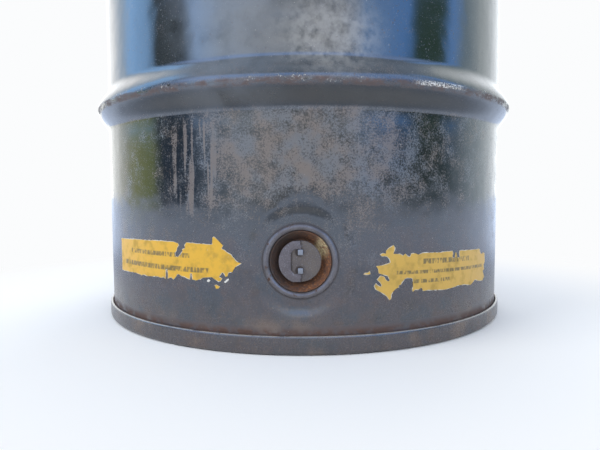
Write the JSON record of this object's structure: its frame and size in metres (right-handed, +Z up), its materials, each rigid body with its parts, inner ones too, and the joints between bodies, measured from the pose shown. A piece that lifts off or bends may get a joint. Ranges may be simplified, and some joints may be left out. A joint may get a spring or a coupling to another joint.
{
  "type": "steel drum with side draw-off tap",
  "caption": "Weathered tight-head steel drum with two rolling hoops, double-seamed heads, screwed bungs and a telescopic draw-off tap low in its side.",
  "frame": {"origin": "centre of the circle that the bottom rim stands on", "axes": "+Z up along the drum's axis, -Y out of the tap, +X to the right of someone who faces the tap"},
  "size_m": [0.602, 0.6027, 0.88],
  "materials": {
    "black_paint": "gloss black enamel on steel, hazed, stained and rusting at the folds",
    "worn_steel": "dulled zinc-plated steel",
    "rusty_steel": "rusted steel with worn plating",
    "cast_alloy": "grey die-cast alloy, dirty and stained",
    "rubber": "matt"
  },
  "bodies": {
    "drum": {"shell": "black_paint", "bottom_head": "black_paint", "top_head": "black_paint", "filler_flange": "worn_steel", "filler_flange_gasket": "rubber", "vent_flange": "worn_steel", "vent_flange_gasket": "rubber", "tap_flange": "worn_steel", "tap_flange_gasket": "rubber", "tap_guide_bush": "rusty_steel", "tap_bush_gasket": "rubber", "spout_seal_front": "rubber", "spout_seal_rear": "rubber"},
    "filler_seal": {"filler_plug_gasket": "rubber"},
    "filler_bung": {"filler_plug": "worn_steel"},
    "vent_seal": {"vent_plug_gasket": "rubber"},
    "vent_bung": {"vent_plug": "worn_steel"},
    "spout": {"spout_tube": "worn_steel", "spout_stop_ring": "worn_steel"},
    "core": {"tap_core": "cast_alloy", "core_face_seal": "rubber", "core_snap_ring": "worn_steel"},
    "ring": {"pull_ring": "cast_alloy"}
  },
  "joints": [
    {"name": "filler_lift", "type": "slide", "parent": "drum", "child": "filler_seal", "axis": [0, 0, 1], "range_m": [0, 0.01387]},
    {"name": "filler_turn", "type": "hinge", "parent": "filler_seal", "child": "filler_bung", "pos_m": [0, -0.215, 0.858], "axis": [0, 0, 1], "range_deg": [0, 2160]},
    {"name": "vent_lift", "type": "slide", "parent": "drum", "child": "vent_seal", "axis": [0, 0, 1], "range_m": [0, 0.0109]},
    {"name": "vent_turn", "type": "hinge", "parent": "vent_seal", "child": "vent_bung", "pos_m": [0, 0.215, 0.858], "axis": [0, 0, 1], "range_deg": [0, 2160]},
    {"name": "spout_slide", "type": "slide", "parent": "drum", "child": "spout", "axis": [0, -1, 0], "range_m": [0, 0.07]},
    {"name": "core_turn", "type": "hinge", "parent": "spout", "child": "core", "pos_m": [0, -0.2838, 0.097], "axis": [0, -1, 0], "range_deg": [0, 90]},
    {"name": "ring_fold", "type": "hinge", "parent": "core", "child": "ring", "pos_m": [0, -0.2848, 0.097], "axis": [0, 0, 1], "range_deg": [0, 175]}
  ],
  "couplings": [
    {"joint": "filler_lift", "follows": "filler_turn", "m_per_rad": 0.00036751},
    {"joint": "vent_lift", "follows": "vent_turn", "m_per_rad": 0.00028876}
  ]
}
